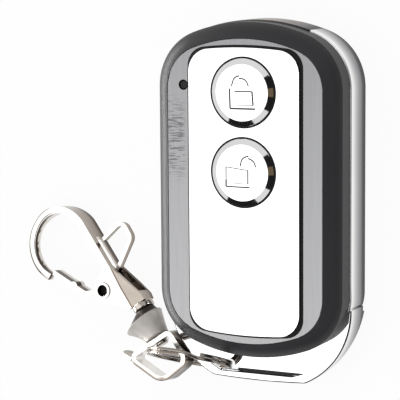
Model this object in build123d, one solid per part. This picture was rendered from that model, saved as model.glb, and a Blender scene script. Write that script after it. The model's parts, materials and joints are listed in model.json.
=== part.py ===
from build123d import *
import os
from math import asin, atan2, cos, hypot, radians, sin, sqrt, tan

# Wireless remote control: a two-button key fob with a split ring and a snap hook.
# Millimetres. Origin on the flat back face, +X to the right of the front face,
# +Y towards the top end, +Z out of the front face.

# Housing in plan: the frame's outline, which the other covers follow
frame_half_width = 17.6
frame_half_length = 29.7
frame_middle_y = 2.2
end_bulge_radius = 31.0
corner_radius = 10.3

# Housing in height
cover_thickness = 1.2
rim_height = 6.8
frame_wall_height = 3.5
shoulder_drop = 2.3
shoulder_width = 2.7
shoulder_crown = 0.25
bezel_thickness = 1.0
faceplate_proud = 0.3
front_plate_thickness = 1.2

# Chrome case
case_overhang = 0.25
housing_wall = 1.5
case_rim_round = 0.3
chin_end_y = -32.6
chin_corner_x = 9.0
chin_corner_y = -32.3
chin_corner_round = 1.6
chin_side_start_y = -18.5
back_slope_start_y = -18.0
back_slope_deg = 18.9
case_back_round = 0.6
back_bend_radius = 6.0
skirt_half_width = 10.0
skirt_gap = 0.06

# Slot for the split ring: narrow, with a wide bay at the left where the ring goes through
bar_thickness = 1.1
bar_depth = 1.2
slot_width = 0.9
slot_right_x = 8.7
slot_right_slant = 2.2
bay_width = 2.2
bay_left_x = -9.6
bay_right_x = -4.9
bay_slant_x = 2.0
bay_slant_y = 1.2
bay_round = 0.4
notch_margin = 0.3
ring_way_radius = 1.0
ring_way_reach = 3.0

# Cover plate
cover_inset = 0.15
cover_tail_inset = 1.2
cover_tail_start_y = -19.4
cover_edge_round = 0.5
seat_gap = 0.08

# Front trim
bezel_gap = 0.03
faceplate_half_width = 10.7
faceplate_half_length = 25.5
faceplate_bulge_radius = 70.0
faceplate_corner_radius = 4.2
faceplate_gap = 0.2
faceplate_edge = 0.15

# Buttons
button_radius = 6.0
button_rise = 0.6
button_chamfer_width = 1.07
button_chamfer_drop = 0.5
button_gap = 0.2
button_flange_radius = 6.8
button_flange_thickness = 0.7
button_travel = 0.35
button_seat_gap = 0.1
stem_radius = 1.4
button_upper_y = 19.8
button_pitch = 14.0

# Indicator lamp
lamp_x = -11.72
lamp_y = 20.8
lamp_hole_radius = 0.92
lamp_lens_gap = 0.05
lamp_lens_recess = 0.2

# Circuit board and what is on it
board_inset = 2.8
board_thickness = 1.0
board_bottom_z = 6.2
board_lower_end_y = -6.3
switch_side = 6.0
switch_height = 1.5
plunger_radius = 1.4
plunger_rise = 0.3
plunger_depth = 0.8
plunger_gap = 0.1
chip_length = 5.0
chip_width = 4.0
chip_height = 1.5
chip_x = 9.3
resonator_radius = 2.2
resonator_height = 1.6
resonator_x = -9.3
board_parts_y = 12.8
lamp_die_side = 1.6
lamp_die_height = 0.7
antenna_wire_radius = 0.4
antenna_half_width = 8.5
antenna_foot_y = 24.0
antenna_bar_y = 27.6
antenna_bend = 1.6

# Battery, a 12 V cell 8 mm across and 28 mm long, lying across the case
cell_radius = 4.0
cell_length = 28.0
cell_nub_radius = 1.7
cell_nub_length = 0.9
cell_y = -11.6
cell_floor_gap = 0.15
contact_thickness = 0.3
contact_width = 6.0
contact_gap = 0.4
spring_wire_radius = 0.22
spring_radius = 1.9
spring_pitch = 0.62

# Screws through the back cover
screw_upper_x = 11.6
screw_upper_y = 24.4
screw_lower_x = 11.4
screw_lower_y = -19.4
boss_radius = 2.0
screw_radius = 0.8
screw_head_radius = 1.5
screw_head_height = 0.8
screw_sink = 0.25
screw_clear = 0.1
screw_length = 7.5
screw_end_gap = 0.4
screw_cross_width = 0.35
screw_cross_depth = 0.4

# Split ring: two turns of flattened wire, leaning on the chin
ring_radius = 7.35
ring_wire_depth = 1.1
ring_wire_height = 0.62
ring_turn_gap = 0.06
ring_wire_round = 0.2
ring_step_deg = 30.0
ring_end_deg = 80.0
ring_lean_deg = 19.35
ring_heading_deg = -1.97
ring_slot_x = -6.044
ring_slot_deg = -24.86
eye_on_ring_deg = 205.3

# Swivel eye and barrel
eye_strip = 0.9
eye_width = 3.2
eye_base_a = 1.2
eye_base_high_b = 6.8
eye_base_low_b = -3.1
eye_far_high = (-5.9, 2.9)
eye_far_low = (-5.2, -3.8)
eye_corners = [1.0, 3.0, 2.0, 1.0]
eye_catch_a = -1.73
axis_offset = 0.84
barrel_length = 5.85
barrel_top_radius = 1.8
barrel_rim_radius = 3.8
barrel_rim_shift = 1.3
barrel_rim_drop = 2.2
barrel_rim_height = 0.25
barrel_foot_radius = 2.3
barrel_foot_shift = 0.35
swivel_pin_radius = 0.9
swivel_fit = 0.06
swivel_head_radius = 1.2
swivel_head_height = 0.5
swivel_head_gap = 0.12
swivel_end_gap = 0.08
collar_radius = 2.05
collar_length = 1.2
collar_gap = 0.1
collar_round = 0.3

# Snap hook: a strip bent into a hook, in its own plane
hook_width = 4.4
hook_strip = 1.3
taper_start_b = 3.0
taper_end_b = 12.5
nose_width = 1.7
foot_half_width = 1.7
foot_taper_end_a = 13.0
hook_base_length = 1.2
hook_heading_deg = 124.26
hook_foot_gap = 0.2
shank_start_b = 1.5
shank_end_a = 27.4
shank_end_b = 2.85
head_radius = 6.65
head_turn_deg = 202.0
nose_length = 1.0
cheek = 0.8
channel_wall = 0.8
channel_floor_b = 2.75
channel_back_b = 1.2
pivot_a = 14.52
pivot_b = 5.04
pivot_lug_radius = 2.05
ear_slot_start_a = 13.9
ear_slot_end_a = 24.3
ear_slot_width = 1.6

# Gate lever with its thumb ear, and the hollow rivet it turns on
gate_hub_radius = 1.8
gate_side_gap = 0.06
gate_rivet_radius = 1.3
gate_rivet_bore = 1.05
gate_rivet_flange = 1.6
gate_rivet_flange_height = 0.2
gate_fit = 0.05
gate_bend = 1.2
gate_tip_a = 23.2
gate_tip_b = 13.45
gate_strip = 0.9
gate_knob_radius = 0.8
gate_bend_a = 16.2
gate_bend_b = 9.3
gate_knob_a = 18.8
gate_knob_b = 10.8
ear_strip = 0.7
ear_width = 1.2
leaf_thickness = 0.25
leaf_width = 1.8
leaf_foot_length = 0.8
leaf_tip_gap = 0.3
leaf_tip_back = 1.5
leaf_bend = 0.6

# Worked out from the sizes above
shoulder_foot_z = rim_height + frame_wall_height
front_z = shoulder_foot_z + shoulder_drop
plate_top_z = front_z - bezel_thickness
plate_bottom_z = plate_top_z - front_plate_thickness
faceplate_top_z = front_z + faceplate_proud
button_top_z = faceplate_top_z + button_rise
flange_top_z = plate_bottom_z - button_seat_gap
flange_bottom_z = flange_top_z - button_flange_thickness
board_top_z = board_bottom_z + board_thickness
switch_top_z = board_top_z + switch_height
plunger_top_z = switch_top_z + plunger_rise
button_lower_y = button_upper_y - button_pitch
slope = tan(radians(back_slope_deg))
bar_bottom_z = rim_height - bar_thickness
slot_low_y = chin_end_y + bar_depth
slot_high_y = slot_low_y + slot_width
bay_high_y = slot_low_y + bay_width
bay_middle_y = slot_low_y + bay_width / 2
far = 60.0


def outline(half_width, half_length, bulge, corner):
    """Oblong with bulged ends and round corners, centred on the frame."""
    shape = Rectangle(2 * half_width, 2 * half_length + 2)
    shape &= Pos(0, half_length - bulge) * Circle(bulge)
    shape &= Pos(0, bulge - half_length) * Circle(bulge)
    shape = fillet(shape.vertices(), corner)
    return Pos(0, frame_middle_y) * shape


def inset_outline(inset):
    """The frame's outline, moved inwards by inset, or outwards if it is negative."""
    return outline(
        frame_half_width - inset,
        frame_half_length - inset,
        end_bulge_radius - inset,
        corner_radius - inset,
    )


def faceplate_outline(grow=0.0):
    return outline(
        faceplate_half_width + grow,
        faceplate_half_length + grow,
        faceplate_bulge_radius + grow,
        faceplate_corner_radius + grow,
    )


def prism(sketch, low, high):
    return extrude(Pos(0, 0, low) * sketch, high - low)


def block(x_low, x_high, y_low, y_high, z_low, z_high):
    size = (x_high - x_low, y_high - y_low, z_high - z_low)
    middle = ((x_low + x_high) / 2, (y_low + y_high) / 2, (z_low + z_high) / 2)
    return Pos(*middle) * Box(*size)


def disc(radius, low, high, x=0.0, y=0.0):
    return Pos(x, y, (low + high) / 2) * Cylinder(radius, high - low)


def above_back(lift):
    """Everything above the back surface, which rises towards the chin and is round at its end."""
    run = back_slope_start_y - chin_end_y
    points = [
        (far, lift),
        (back_slope_start_y, lift),
        (chin_end_y, lift + run * slope),
        (chin_end_y, far),
        (far, far),
    ]
    profile = make_face(Polyline(*points, close=True))
    bend = profile.vertices().sort_by_distance(Vector(back_slope_start_y, lift))[0]
    profile = fillet(bend, back_bend_radius)
    end = profile.vertices().sort_by_distance(Vector(chin_end_y, lift + run * slope))[0]
    profile = fillet(end, case_back_round)
    return extrude(Plane.YZ * profile, far, both=True)


def case_outline(inset=0.0):
    """The chrome case: the frame's outline, drawn out into the chin below."""
    top = inset_outline(inset - case_overhang)
    full_width = frame_half_width + case_overhang
    across = full_width - chin_corner_x
    drop = chin_side_start_y - chin_corner_y
    side_radius = (across * across + drop * drop) / (2 * across)
    side_x = full_width - side_radius
    radius = side_radius - inset
    corner_y = chin_corner_y + inset
    corner_turn = asin((chin_side_start_y - corner_y) / radius)
    middle_x = side_x + radius * cos(corner_turn / 2)
    middle_y = chin_side_start_y - radius * sin(corner_turn / 2)
    corner_x = side_x + radius * cos(corner_turn)
    right = (full_width - inset, chin_side_start_y)
    left = (inset - full_width, chin_side_start_y)
    edges = [
        Line(left, right),
        ThreePointArc(right, (middle_x, middle_y), (corner_x, corner_y)),
        ThreePointArc((corner_x, corner_y), (0, chin_end_y + inset), (-corner_x, corner_y)),
        ThreePointArc((-corner_x, corner_y), (-middle_x, middle_y), left),
    ]
    chin = make_face(edges)
    corners = chin.vertices().filter_by(lambda v: v.Y < corner_y + 0.01)
    chin = fillet(corners, chin_corner_round)
    keep = Pos(0, chin_side_start_y + far / 2) * Rectangle(far, far)
    return (top & keep) + chin


def cover_outline(grow=0.0):
    """The back cover: flush with the sides, and narrower under the chin."""
    flush = inset_outline(cover_inset - case_overhang - grow)
    keep = Pos(0, cover_tail_start_y - grow + far / 2) * Rectangle(far, far)
    return case_outline(cover_tail_inset - grow) + (flush & keep)


def screw_places():
    return [
        (side * x, y, z)
        for x, y, z in (
            (screw_upper_x, screw_upper_y, 0.0),
            (screw_lower_x, screw_lower_y, (back_slope_start_y - screw_lower_y) * slope),
        )
        for side in (-1, 1)
    ]


def make_chrome_case():
    case = prism(case_outline(), 0, rim_height) & above_back(0)
    case = fillet(case.edges().group_by(Axis.Z)[-1], case_rim_round)
    case -= prism(cover_outline(seat_gap), -1, far) - above_back(cover_thickness)
    case -= block(-far, far, cover_tail_start_y - seat_gap, far, -1, cover_thickness)
    case -= prism(inset_outline(housing_wall), -1, far)
    skirt = skirt_half_width + skirt_gap
    case -= block(-skirt, skirt, frame_middle_y + corner_radius, far, -1, far)
    return case - ring_slot() - ring_notch() - ring_way()


def ring_slot():
    points = [
        (bay_left_x, slot_low_y + bay_slant_y),
        (bay_left_x + bay_slant_x, slot_low_y),
        (slot_right_x - slot_right_slant, slot_low_y),
        (slot_right_x, slot_high_y - 0.15),
        (slot_right_x, slot_high_y),
        (bay_right_x, slot_high_y),
        (bay_right_x, bay_high_y),
        (bay_left_x, bay_high_y),
    ]
    sketch = make_face(Polyline(*points, close=True))
    corners = sketch.vertices().filter_by(lambda v: v.X < bay_right_x + 0.1 and v.Y > slot_high_y + 0.1)
    return prism(fillet(corners, bay_round), 0, far)


def ring_way():
    """Rounds the edges that the leaning ring would touch."""
    way = Plane(origin=slot_point, z_dir=ring_arm(ring_slot_deg + 90))
    return way * Cylinder(ring_way_radius, 2 * ring_way_reach)


def ring_notch():
    """Room under the bar where the ring comes out below it."""
    low_x = bay_left_x - notch_margin
    high_x = bay_right_x + notch_margin
    high_y = bay_high_y + notch_margin
    return block(low_x, high_x, -far, high_y, -1, rim_height - bar_thickness)


def make_back_cover():
    cover = prism(cover_outline(), -1, far) & above_back(0)
    cover -= above_back(cover_thickness) + ring_notch()
    for x, y, z in screw_places():
        if y > 0:
            cover += disc(boss_radius, cover_thickness, board_bottom_z, x, y)
        cover -= disc(screw_radius + screw_clear, -1, far, x, y)
        cover -= screw_head_room(x, y, z)
    return cover


def screw_head_room(x, y, z):
    return disc(screw_head_radius + screw_clear, -1, z + screw_sink + screw_head_height, x, y)


def make_front_frame():
    frame = prism(inset_outline(0), rim_height, shoulder_foot_z)
    middle = shoulder_width / 2 - shoulder_crown
    shoulder = loft(
        [
            Pos(0, 0, shoulder_foot_z) * inset_outline(0),
            Pos(0, 0, shoulder_foot_z + shoulder_drop / 2 + shoulder_crown) * inset_outline(middle),
            Pos(0, 0, front_z) * inset_outline(shoulder_width),
        ]
    )
    frame += shoulder
    frame -= prism(inset_outline(housing_wall), 0, plate_bottom_z)
    frame -= prism(inset_outline(shoulder_width + bezel_gap - 0.03), plate_top_z, far)
    frame += frame_lip() + antenna_skirt()
    for x, y, z in screw_places():
        foot = board_top_z if y > 0 else z
        boss = disc(boss_radius, foot, plate_bottom_z, x, y)
        frame += boss & above_back(cover_thickness)
        frame -= disc(screw_radius, 0, z + screw_sink + screw_length + screw_end_gap, x, y)
        frame -= screw_head_room(x, y, z)
    for y in (button_upper_y, button_lower_y):
        frame -= disc(button_radius + button_gap, 0, far, 0, y)
    frame -= disc(lamp_hole_radius, 0, far, lamp_x, lamp_y)
    return frame


def frame_lip():
    """Tongue that centres the frame in the chrome case."""
    low = rim_height - 0.9
    ring = inset_outline(housing_wall + seat_gap) - inset_outline(housing_wall + 0.9)
    tongue = prism(ring, low, rim_height + 0.6)
    join = inset_outline(housing_wall - 0.2) - inset_outline(housing_wall + 0.9)
    tongue += prism(join, rim_height, rim_height + 0.6)
    for x, y, z in screw_places():
        tongue -= disc(boss_radius + seat_gap, 0, rim_height, x, y)
    half = contact_width / 2 + contact_gap
    return tongue - block(-far, far, cell_y - half, cell_y + half, 0, far)


def antenna_skirt():
    """Plastic part of the top end wall, in front of the antenna wire."""
    ring = inset_outline(-case_overhang) - inset_outline(housing_wall)
    wall = prism(ring, cover_thickness, rim_height + 0.01)
    return wall & block(-skirt_half_width, skirt_half_width, corner_radius, far, 0, far)


def make_bezel():
    plate = prism(inset_outline(shoulder_width + bezel_gap), plate_top_z, front_z)
    plate = fillet(plate.edges().group_by(Axis.Z)[-1], faceplate_edge)
    plate -= prism(faceplate_outline(faceplate_gap), 0, far)
    return plate - disc(lamp_hole_radius, 0, far, lamp_x, lamp_y)


def make_faceplate():
    plate = prism(faceplate_outline(), plate_top_z, faceplate_top_z)
    plate = chamfer(plate.edges().group_by(Axis.Z)[-1], faceplate_edge)
    for y in (button_upper_y, button_lower_y):
        plate -= disc(button_radius + button_gap, 0, far, 0, y)
    return plate


def make_button(y):
    cap = disc(button_radius, flange_top_z - 0.01, button_top_z, 0, y)
    rim = cap.edges().group_by(Axis.Z)[-1]
    cap = chamfer(rim, button_chamfer_drop, button_chamfer_width, reference=side_of(cap))
    cap += disc(button_flange_radius, flange_bottom_z, flange_top_z, 0, y)
    cap -= disc(button_radius - 1.2, flange_bottom_z - 1, plate_top_z, 0, y)
    return cap + disc(stem_radius, plunger_top_z, plate_top_z + 0.1, 0, y)


def side_of(cap):
    return cap.faces().filter_by(GeomType.CYLINDER)[0]


def make_switch_body(y):
    body = block(
        -switch_side / 2, switch_side / 2,
        y - switch_side / 2, y + switch_side / 2,
        board_top_z, switch_top_z,
    )
    body = chamfer(body.edges().filter_by(Axis.Z), 0.6)
    well = plunger_top_z - plunger_rise - plunger_depth - button_travel
    return body - disc(plunger_radius + plunger_gap, well, far, 0, y)


def make_plunger(y):
    low = switch_top_z - plunger_depth
    post = disc(plunger_radius, low, plunger_top_z, 0, y)
    return chamfer(post.edges().group_by(Axis.Z)[0], 0.2)


def make_lamp_lens():
    low = board_top_z + lamp_die_height + 0.1
    lens = disc(lamp_hole_radius - lamp_lens_gap, low, front_z - lamp_lens_recess, lamp_x, lamp_y)
    return fillet(lens.edges().group_by(Axis.Z)[-1], 0.3)


def make_lamp_die():
    half = lamp_die_side / 2
    return block(
        lamp_x - half, lamp_x + half, lamp_y - half / 2, lamp_y + half / 2,
        board_top_z, board_top_z + lamp_die_height,
    )


def make_circuit_board():
    board = prism(inset_outline(board_inset), board_bottom_z, board_top_z)
    board -= block(-far, far, -far, board_lower_end_y, 0, far)
    for x, y, z in screw_places():
        board -= disc(screw_radius + screw_clear, 0, far, x, y)
    return board


def make_encoder_chip():
    half_length = chip_length / 2
    half_width = chip_width / 2
    body = block(
        chip_x - half_width, chip_x + half_width,
        board_parts_y - half_length, board_parts_y + half_length,
        board_top_z + 0.1, board_top_z + chip_height,
    )
    legs = [
        block(
            chip_x - half_width - 0.6, chip_x + half_width + 0.6,
            board_parts_y + row * 1.27 - 0.2, board_parts_y + row * 1.27 + 0.2,
            board_top_z, board_top_z + 0.25,
        )
        for row in (-1.5, -0.5, 0.5, 1.5)
    ]
    return body + legs


def make_resonator_can():
    can = disc(resonator_radius, board_top_z, board_top_z + resonator_height, resonator_x, board_parts_y)
    can = fillet(can.edges().group_by(Axis.Z)[-1], 0.3)
    return can + disc(resonator_radius + 0.3, board_top_z, board_top_z + 0.3, resonator_x, board_parts_y)


def make_antenna_wire():
    z = board_top_z + antenna_wire_radius
    points = [
        (-antenna_half_width, antenna_foot_y, z),
        (-antenna_half_width, antenna_bar_y, z),
        (antenna_half_width, antenna_bar_y, z),
        (antenna_half_width, antenna_foot_y, z),
    ]
    path = FilletPolyline(*points, radius=antenna_bend)
    section = Plane(origin=path @ 0, z_dir=path % 0) * Circle(antenna_wire_radius)
    return sweep(section, path)


def cell_height():
    return cover_thickness + cell_floor_gap + cell_radius


def make_battery():
    place = Pos(0, cell_y, cell_height()) * Rot(0, 90, 0)
    body = Cylinder(cell_radius, cell_length)
    body = fillet(body.edges().filter_by(GeomType.CIRCLE), 0.5)
    nub = Pos(0, 0, (cell_length + cell_nub_length) / 2) * Cylinder(cell_nub_radius, cell_nub_length)
    return place * (body + nub)


def contact_plate(x, side):
    """Nickel tab that stands on the cover beside one end of the battery."""
    half = contact_width / 2
    low = cover_thickness
    high = cell_height() + cell_radius - 1
    tab = block(
        min(x, x + side * contact_thickness), max(x, x + side * contact_thickness),
        cell_y - half, cell_y + half, low, high,
    )
    return tab


def make_positive_contact():
    return contact_plate(cell_length / 2 + cell_nub_length, 1)


def make_negative_contact():
    room = frame_half_width - housing_wall - cell_length / 2 - contact_thickness - 0.15
    x = -cell_length / 2 - room
    plate = contact_plate(x, -1)
    turns = (room - 2 * spring_wire_radius) / spring_pitch
    coil = Helix(spring_pitch, turns * spring_pitch, spring_radius)
    section = Plane(origin=coil @ 0, z_dir=coil % 0) * Circle(spring_wire_radius)
    spring = sweep(section, coil, is_frenet=True)
    spring = Pos(x + spring_wire_radius * 0.9, cell_y, cell_height()) * Rot(0, 90, 0) * spring
    return plate + spring


def make_case_screws():
    screws = []
    for x, y, z in screw_places():
        low = z + screw_sink
        head = disc(screw_head_radius, low, low + screw_head_height, x, y)
        head = fillet(head.edges().group_by(Axis.Z)[0], 0.25)
        shank = disc(screw_radius, low, low + screw_length, x, y)
        cross = block(-screw_head_radius, screw_head_radius, -screw_cross_width / 2,
                      screw_cross_width / 2, 0, screw_cross_depth)
        cross = (cross + Rot(0, 0, 90) * cross) & Cylinder(1.0, 4)
        screws.append(head + shank - Pos(x, y, low) * cross)
    return Compound(screws)


# Split ring

ring_level = (ring_wire_height + ring_turn_gap) / 2
ring_across = Vector(cos(radians(ring_heading_deg)), sin(radians(ring_heading_deg)), 0)
ring_flat = Vector(sin(radians(ring_heading_deg)), -cos(radians(ring_heading_deg)), 0)
ring_normal = ring_flat * cos(radians(ring_lean_deg)) + Vector(0, 0, sin(radians(ring_lean_deg)))
ring_up = ring_normal.cross(ring_across)
slot_point = Vector(ring_slot_x, bay_middle_y, (rim_height + bar_bottom_z) / 2)


def ring_arm(angle_deg):
    turn = radians(angle_deg)
    return ring_across * cos(turn) + ring_up * sin(turn)


ring_middle = slot_point - ring_arm(ring_slot_deg) * ring_radius
ring_plane = Plane(origin=ring_middle, x_dir=ring_across, z_dir=ring_normal)


def ring_section(angle_deg, level):
    turn = radians(angle_deg)
    out = Vector(cos(turn), sin(turn), 0)
    along = Vector(-sin(turn), cos(turn), 0)
    place = Plane(origin=out * ring_radius + Vector(0, 0, level), x_dir=out, z_dir=along)
    return place * RectangleRounded(ring_wire_depth, ring_wire_height, ring_wire_round)


def make_key_ring():
    full = 360 - ring_step_deg
    start = ring_end_deg
    first = revolve(ring_section(start, ring_level), Axis.Z, full)
    second = revolve(ring_section(start, -ring_level), Axis.Z, full)
    steps = 6
    sections = []
    for i in range(steps + 1):
        share = i / steps
        rise = share * share * (3 - 2 * share)
        level = ring_level - 2 * ring_level * rise
        sections.append(ring_section(start - ring_step_deg * (1 - share), level))
    crossing = loft(sections)
    return ring_plane.location * (first + second + crossing)


# Swivel and hook: one plane holds the hook, its axis runs from the ring to the hook's head

eye_point = ring_middle + ring_arm(eye_on_ring_deg) * ring_radius
ring_tangent = ring_arm(eye_on_ring_deg + 90)
foot_reach = shank_end_a - eye_catch_a
rest_angle = asin(
    (eye_point.Z - hook_foot_gap) / hypot(foot_reach, hook_width / 2)
) - atan2(hook_width / 2, foot_reach)
heading = radians(hook_heading_deg)
hook_along = Vector(cos(heading) * cos(rest_angle), sin(heading) * cos(rest_angle), -sin(rest_angle))
hook_side = Vector(-sin(heading), cos(heading), 0)
hook_normal = hook_along.cross(hook_side)
hook_origin = eye_point - hook_along * eye_catch_a - hook_side * axis_offset
hook_plane = Plane(origin=hook_origin, x_dir=hook_along, z_dir=hook_normal)
eye_top_a = eye_base_a + eye_strip / 2
barrel_start_a = eye_top_a + swivel_end_gap
barrel_end_a = barrel_start_a + barrel_length
rim_high_a = barrel_end_a - barrel_rim_drop
rim_low_a = rim_high_a - barrel_rim_height
collar_start_a = barrel_end_a + collar_gap
base_start_a = collar_start_a + collar_length
base_end_a = base_start_a + hook_base_length
channel_start_a = base_end_a + channel_wall


def on_axis(shape):
    """Turns a shape built up Z so that it lies along the hook's axis."""
    return Rot(0, 90, 0) * shape


def strip_along(path, width, thickness):
    """Flat strip bent along a path in the hook's plane, with its width across the plane."""
    section = Plane(origin=path @ 0, x_dir=(0, 0, 1), z_dir=path % 0) * Rectangle(width, thickness)
    return sweep(section, path)


def make_swivel_eye():
    corners = [
        (eye_base_a, eye_base_high_b),
        eye_far_high,
        eye_far_low,
        (eye_base_a, eye_base_low_b),
    ]
    path = FilletPolyline(*corners, radius=eye_corners, close=True)
    loop = strip_along(path, eye_width, eye_strip)
    loop -= on_axis(disc(swivel_pin_radius + swivel_fit, 0, far))
    return hook_plane.location * loop


def barrel_ring(radius, shift, at):
    return Pos(0, shift, at) * Circle(radius)


def make_swivel_barrel():
    """Bell with its rim drawn out to one side, built up Z and then laid along the axis."""
    top = barrel_ring(barrel_top_radius, 0, barrel_end_a)
    rim_high = barrel_ring(barrel_rim_radius, barrel_rim_shift, rim_high_a)
    rim_low = barrel_ring(barrel_rim_radius, barrel_rim_shift, rim_low_a)
    foot = barrel_ring(barrel_foot_radius, barrel_foot_shift, barrel_start_a)
    bell = loft([rim_high, top]) + loft([rim_low, rim_high]) + loft([foot, rim_low])
    bell -= disc(swivel_pin_radius + swivel_fit, 0, far)
    return hook_plane.location * on_axis(bell)


def make_swivel_pin():
    head_low = eye_top_a - eye_strip - swivel_head_height - swivel_head_gap
    pin = disc(swivel_head_radius, head_low, head_low + swivel_head_height)
    pin = fillet(pin.edges().group_by(Axis.Z)[0], 0.3)
    pin += disc(swivel_pin_radius, head_low, base_end_a + 0.3)
    return hook_plane.location * on_axis(pin)


def make_swivel_collar():
    ring = disc(collar_radius, collar_start_a, base_start_a)
    ring = fillet(ring.edges(), collar_round)
    ring -= disc(swivel_pin_radius, 0, far)
    return hook_plane.location * on_axis(ring)


def hook_path():
    shank = Line((base_start_a, shank_start_b), (shank_end_a, shank_end_b))
    head = JernArc(shank @ 1, shank % 1, head_radius, head_turn_deg)
    nose = PolarLine(head @ 1, nose_length, direction=head % 1)
    return shank + head + nose


def slab(a_low, a_high, b_low, b_high, width):
    return block(a_low, a_high, b_low, b_high, -width / 2, width / 2)


def hook_taper():
    """Room for the hook: full width at the shank, narrow at the nose."""
    wide = hook_width / 2
    narrow = nose_width / 2
    points = [
        (-far, wide),
        (taper_start_b, wide),
        (taper_end_b, narrow),
        (far, narrow),
        (far, -narrow),
        (taper_end_b, -narrow),
        (taper_start_b, -wide),
        (-far, -wide),
    ]
    return extrude(Plane.YZ * make_face(Polyline(*points, close=True)), far, both=True)


def foot_taper():
    """Room for the hook: narrow where it stands on the collar."""
    wide = hook_width / 2
    points = [
        (0, foot_half_width),
        (base_start_a, foot_half_width),
        (foot_taper_end_a, wide),
        (far, wide),
        (far, -wide),
        (foot_taper_end_a, -wide),
        (base_start_a, -foot_half_width),
        (0, -foot_half_width),
    ]
    return extrude(Plane.XZ * make_face(Polyline(*points, close=True)), far, both=True)


def make_hook_body():
    strip = strip_along(hook_path(), hook_width, hook_strip) & hook_taper()
    lug = Pos(pivot_a, pivot_b) * Circle(pivot_lug_radius)
    foot = Pos((base_start_a + base_end_a) / 2, 0) * Rectangle(hook_base_length, 2 * foot_half_width)
    neck = Pos(pivot_a + 3.2, channel_floor_b - 0.5) * Rectangle(1.0, hook_strip)
    cheeks = extrude(make_hull(lug.edges() + foot.edges() + neck.edges()), hook_width / 2, both=True)
    gap = hook_width - 2 * cheek
    cheeks -= slab(channel_start_a, far, channel_floor_b, far, gap)
    cheeks -= slab(channel_start_a, far, -far, channel_back_b, gap)
    body = (strip + cheeks) & foot_taper()
    body -= slab(ear_slot_start_a, ear_slot_end_a, -far, pivot_b, ear_slot_width)
    body -= disc(gate_rivet_radius, -far, far, pivot_a, pivot_b)
    body -= on_axis(disc(swivel_pin_radius, 0, base_end_a + 0.3))
    body -= slab(0, base_start_a, -far, far, far)
    return hook_plane.location * body


def make_gate_lever():
    width = hook_width - 2 * cheek - 2 * gate_side_gap
    bend = (gate_bend_a, gate_bend_b)
    tip = (gate_tip_a, gate_tip_b)
    arm = strip_along(FilletPolyline((pivot_a, pivot_b), bend, tip, radius=gate_bend), width, gate_strip)
    lever = arm + Pos(gate_knob_a, gate_knob_b, 0) * Cylinder(gate_knob_radius, width)
    lever += Pos(pivot_a, pivot_b, 0) * Cylinder(gate_hub_radius, width)
    lever -= Pos(pivot_a, pivot_b, 0) * Cylinder(gate_rivet_radius + gate_fit, far)
    return hook_plane.location * (lever + thumb_ear())


def thumb_ear():
    """Strip that leaves the hub, loops out through the shank and comes back to it."""
    points = [
        (pivot_a + 0.9, pivot_b - 1.55),
        (pivot_a + 2.6, 0.6),
        (pivot_a + 5.84, -4.55),
        (pivot_a + 9.62, -4.43),
        (pivot_a + 8.6, 1.2),
    ]
    path = FilletPolyline(*points, radius=[1.6, 1.5, 1.4])
    return strip_along(path, ear_width, ear_strip)


def make_gate_rivet():
    half = hook_width / 2
    high = half + gate_rivet_flange_height
    rivet = disc(gate_rivet_radius, -high, high)
    for side in (-1, 1):
        low = min(side * half, side * high)
        rivet += disc(gate_rivet_flange, low, low + gate_rivet_flange_height)
    rivet -= Cylinder(gate_rivet_bore, far)
    return hook_plane.location * Pos(pivot_a, pivot_b, 0) * rivet


def make_gate_leaf():
    """Leaf spring that lies in the channel, behind the gate's hub."""
    foot_b = channel_floor_b + leaf_thickness / 2
    tip_a = pivot_a - leaf_tip_back
    reach = gate_hub_radius + leaf_tip_gap + leaf_thickness / 2
    tip_b = pivot_b - sqrt(max(reach * reach - leaf_tip_back * leaf_tip_back, 0.01))
    points = [(channel_start_a, foot_b), (channel_start_a + leaf_foot_length, foot_b), (tip_a, tip_b)]
    path = FilletPolyline(*points, radius=leaf_bend)
    return hook_plane.location * strip_along(path, leaf_width, leaf_thickness)


parts = {
    "chrome_case": make_chrome_case(),
    "back_cover": make_back_cover(),
    "front_frame": make_front_frame(),
    "bezel": make_bezel(),
    "faceplate": make_faceplate(),
    "lock_button": make_button(button_upper_y),
    "unlock_button": make_button(button_lower_y),
    "lock_switch_body": make_switch_body(button_upper_y),
    "unlock_switch_body": make_switch_body(button_lower_y),
    "lock_switch_plunger": make_plunger(button_upper_y),
    "unlock_switch_plunger": make_plunger(button_lower_y),
    "lamp_lens": make_lamp_lens(),
    "lamp_die": make_lamp_die(),
    "circuit_board": make_circuit_board(),
    "encoder_chip": make_encoder_chip(),
    "resonator_can": make_resonator_can(),
    "antenna_wire": make_antenna_wire(),
    "battery": make_battery(),
    "positive_contact": make_positive_contact(),
    "negative_contact": make_negative_contact(),
    "case_screws": make_case_screws(),
    "key_ring": make_key_ring(),
    "swivel_eye": make_swivel_eye(),
    "swivel_barrel": make_swivel_barrel(),
    "swivel_pin": make_swivel_pin(),
    "swivel_collar": make_swivel_collar(),
    "hook_body": make_hook_body(),
    "gate_lever": make_gate_lever(),
    "gate_rivet": make_gate_rivet(),
    "gate_leaf": make_gate_leaf(),
}

os.makedirs("parts", exist_ok=True)
for name, shape in parts.items():
    export_step(shape, f"parts/{name}.step")

print("ring middle", ring_middle)
print("ring swing axis", ring_arm(ring_slot_deg + 90), "at", slot_point)
print("eye swing axis", ring_tangent, "at", eye_point)
print("hook axis", hook_along, "at", hook_origin)
print("gate axis", hook_normal, "at", hook_plane.from_local_coords(Vector(pivot_a, pivot_b, 0)))
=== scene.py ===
import bmesh
import bpy
import json
from math import atan2, cos, pi, radians, sin, sqrt
from mathutils import Matrix, Vector


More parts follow.
